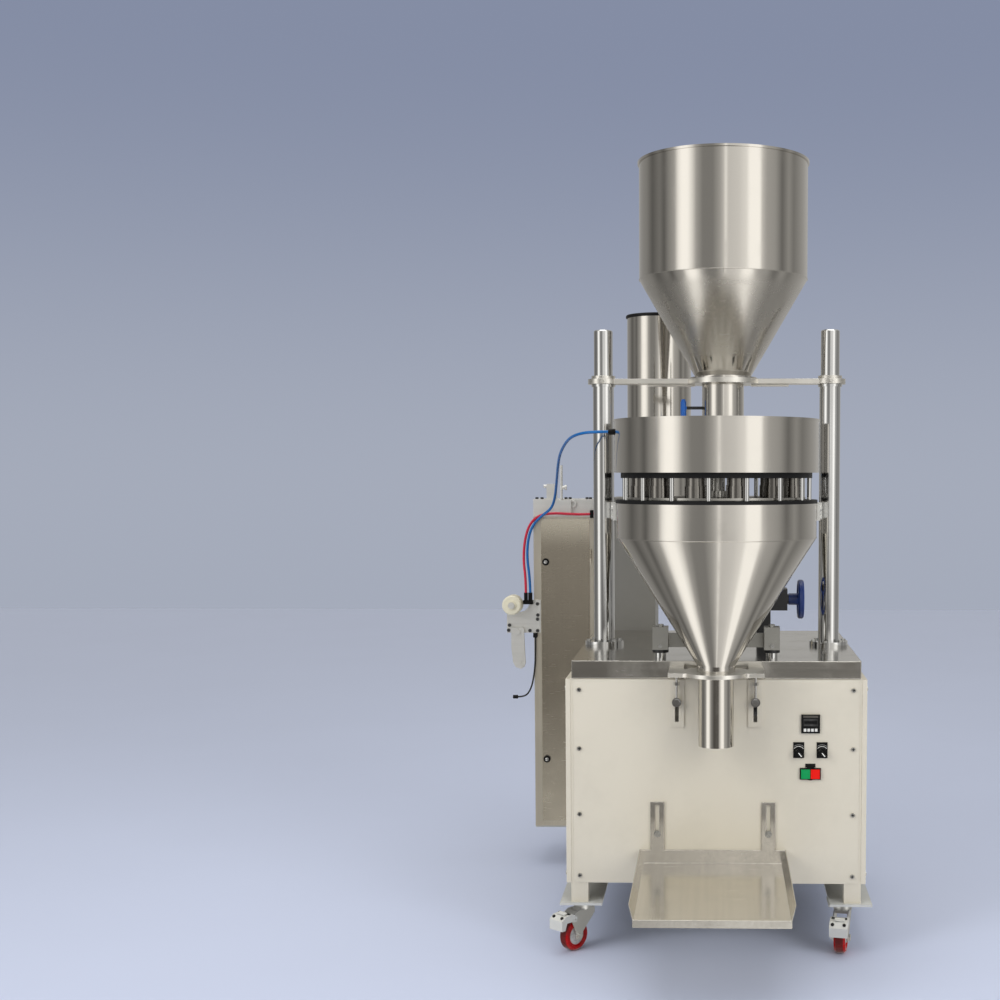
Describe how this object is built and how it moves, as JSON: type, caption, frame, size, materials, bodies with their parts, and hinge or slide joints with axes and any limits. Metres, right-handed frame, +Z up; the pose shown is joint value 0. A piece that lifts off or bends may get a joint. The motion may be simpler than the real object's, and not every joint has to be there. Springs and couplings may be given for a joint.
{
  "type": "granule packing machine",
  "caption": "Rotary cup filler for granules: feed hopper on a crossbar over a dosing drum, slanted catch hopper, discharge pipe and bag tray on a castored base.",
  "frame": {"origin": "middle of the machine's footprint box on the floor", "axes": "+Z up, -Y towards the operator's side with the front panel, +X to the operator's right"},
  "size_m": [1.067, 1.58, 2.095],
  "materials": {
    "chrome": "polished",
    "polished_stainless": "polished",
    "brushed_stainless": "brushed",
    "satin_metal": "satin",
    "ivory_paint": "powder coat",
    "grey_paint": "semi gloss",
    "black_plastic": "satin",
    "blue_plastic": "gloss",
    "green_plastic": "gloss",
    "red_plastic": "gloss",
    "ivory_plastic": "satin",
    "zinc": "zinc plated",
    "red_wheel": "polyurethane",
    "black_steel": "blackened",
    "navy_plastic": "satin",
    "blue_hose": "satin",
    "red_hose": "satin"
  },
  "bodies": {
    "machine": {"base_frame": "grey_paint", "chassis_skids": "grey_paint", "front_panel": "ivory_paint", "cover_panels": "ivory_paint", "top_cover": "brushed_stainless", "panel_screws": "chrome", "hex_bolts": "zinc", "columns": "chrome", "spacer_posts": "chrome", "sealing_plates": "black_plastic", "dosing_drum": "polished_stainless", "drive_column": "satin_metal", "drive_motor": "black_steel", "guide_posts": "chrome", "post_blocks": "satin_metal", "lower_hopper": "polished_stainless", "hopper_arms": "satin_metal", "outlet_bracket": "satin_metal", "eye_bolts": "zinc", "discharge_pipe": "polished_stainless", "counter_body": "black_plastic", "switch_bezels": "black_plastic", "adjuster_box": "black_steel", "rear_castor_forks": "zinc", "cabinet_body": "brushed_stainless", "cabinet_top": "satin_metal", "rear_frame": "grey_paint", "forming_tube": "brushed_stainless", "roller_bracket": "satin_metal", "hose_fittings": "black_plastic", "blue_hose": "blue_hose", "red_hose": "red_hose", "sensor_lead": "black_plastic"},
    "turret": {"drive_shaft": "satin_metal", "lower_cup_disc": "satin_metal", "lower_cups": "black_steel"},
    "volume_disc": {"upper_cup_disc": "satin_metal", "upper_cups": "polished_stainless"},
    "hopper_bridge": {"cross_beam": "satin_metal", "upper_hopper": "polished_stainless", "level_sensor": "blue_plastic"},
    "tray": {"bag_tray": "brushed_stainless"},
    "left_selector": {"knob_left": "black_plastic"},
    "right_selector": {"knob_right": "black_plastic"},
    "start_button": {"button_green": "green_plastic"},
    "stop_button": {"button_red": "red_plastic"},
    "handwheel_unit": {"handwheel": "navy_plastic"},
    "fork_left": {"front_fork_left": "zinc"},
    "fork_right": {"front_fork_right": "zinc"},
    "wheel_front_left": {"front_wheel_left": "red_wheel"},
    "wheel_front_right": {"front_wheel_right": "red_wheel"},
    "wheel_rear_left": {"rear_wheel_left": "red_wheel"},
    "wheel_rear_right": {"rear_wheel_right": "red_wheel"},
    "brake_left": {"pedal_left": "ivory_plastic"},
    "brake_right": {"pedal_right": "ivory_plastic"},
    "door": {"cabinet_door": "brushed_stainless"},
    "upper_latch": {"latch_upper": "black_plastic"},
    "lower_latch": {"latch_lower": "black_plastic"},
    "roller": {"film_roller": "ivory_plastic"},
    "link": {"tension_arm": "satin_metal"}
  },
  "joints": [
    {"name": "turret_spin", "type": "hinge", "parent": "machine", "child": "turret", "pos_m": [0.1285, -0.175, 1.18], "axis": [0, 0, 1], "continuous": true},
    {"name": "volume_slide", "type": "slide", "parent": "turret", "child": "volume_disc", "axis": [0, 0, 1], "range_m": [-0.01, 0.01]},
    {"name": "handwheel_turn", "type": "hinge", "parent": "machine", "child": "handwheel_unit", "pos_m": [0.3285, -0.02, 0.897], "axis": [1, 0, 0], "range_deg": [-727, 727]},
    {"name": "hopper_lift", "type": "slide", "parent": "machine", "child": "hopper_bridge", "axis": [0, 0, 1], "range_m": [0, 0.1]},
    {"name": "tray_slide", "type": "slide", "parent": "machine", "child": "tray", "axis": [0, 0, 1], "range_m": [-0.068, 0]},
    {"name": "left_selector_turn", "type": "hinge", "parent": "machine", "child": "left_selector", "pos_m": [0.3415, -0.32, 0.528], "axis": [0, 1, 0], "range_deg": [0, 80]},
    {"name": "right_selector_turn", "type": "hinge", "parent": "machine", "child": "right_selector", "pos_m": [0.4015, -0.32, 0.528], "axis": [0, 1, 0], "range_deg": [0, 80]},
    {"name": "start_press", "type": "slide", "parent": "machine", "child": "start_button", "axis": [0, 1, 0], "range_m": [0, 0.002], "stiffness_N_per_m": 400, "springref_m": -0.003},
    {"name": "stop_press", "type": "slide", "parent": "machine", "child": "stop_button", "axis": [0, 1, 0], "range_m": [0, 0.002], "stiffness_N_per_m": 400, "springref_m": -0.003},
    {"name": "swivel_left", "type": "hinge", "parent": "machine", "child": "fork_left", "pos_m": [-0.2215, -0.278, 0.11], "axis": [0, 0, 1], "continuous": true},
    {"name": "swivel_right", "type": "hinge", "parent": "machine", "child": "fork_right", "pos_m": [0.4615, -0.278, 0.11], "axis": [0, 0, 1], "continuous": true},
    {"name": "roll_front_left", "type": "hinge", "parent": "fork_left", "child": "wheel_front_left", "pos_m": [-0.24335, -0.30405, 0.04], "axis": [-0.766, 0.6428, 0], "continuous": true},
    {"name": "roll_front_right", "type": "hinge", "parent": "fork_right", "child": "wheel_front_right", "pos_m": [0.45443, -0.31126, 0.04], "axis": [-0.9781, 0.2079, 0], "continuous": true},
    {"name": "roll_rear_left", "type": "hinge", "parent": "machine", "child": "wheel_rear_left", "pos_m": [-0.2215, 0.58, 0.04], "axis": [1, 0, 0], "continuous": true},
    {"name": "roll_rear_right", "type": "hinge", "parent": "machine", "child": "wheel_rear_right", "pos_m": [0.4785, 0.58, 0.04], "axis": [1, 0, 0], "continuous": true},
    {"name": "brake_press_left", "type": "hinge", "parent": "fork_left", "child": "brake_left", "pos_m": [-0.25364, -0.3163, 0.088], "axis": [0.766, -0.6428, 0], "range_deg": [0, 12]},
    {"name": "brake_press_right", "type": "hinge", "parent": "fork_right", "child": "brake_right", "pos_m": [0.4511, -0.32691, 0.088], "axis": [0.9781, -0.2079, 0], "range_deg": [-12, 0]},
    {"name": "door_hinge", "type": "hinge", "parent": "machine", "child": "door", "pos_m": [-0.2635, 0.4685, 0.62], "axis": [0, 0, 1], "range_deg": [0, 80]},
    {"name": "upper_latch_turn", "type": "hinge", "parent": "door", "child": "upper_latch", "pos_m": [-0.4045, 0.47, 0.969], "axis": [0, 1, 0], "range_deg": [-90, 0]},
    {"name": "lower_latch_turn", "type": "hinge", "parent": "door", "child": "lower_latch", "pos_m": [-0.4045, 0.47, 0.346], "axis": [0, 1, 0], "range_deg": [-90, 0]},
    {"name": "roller_spin", "type": "hinge", "parent": "machine", "child": "roller", "pos_m": [-0.5035, 0.43, 0.838], "axis": [0, 1, 0], "continuous": true},
    {"name": "link_swing", "type": "hinge", "parent": "machine", "child": "link", "pos_m": [-0.4935, 0.458, 0.75], "axis": [0, 1, 0], "range_deg": [0, 25]}
  ],
  "couplings": [
    {"joint": "handwheel_turn", "follows": "volume_slide", "rad_per_m": 1256.6}
  ]
}
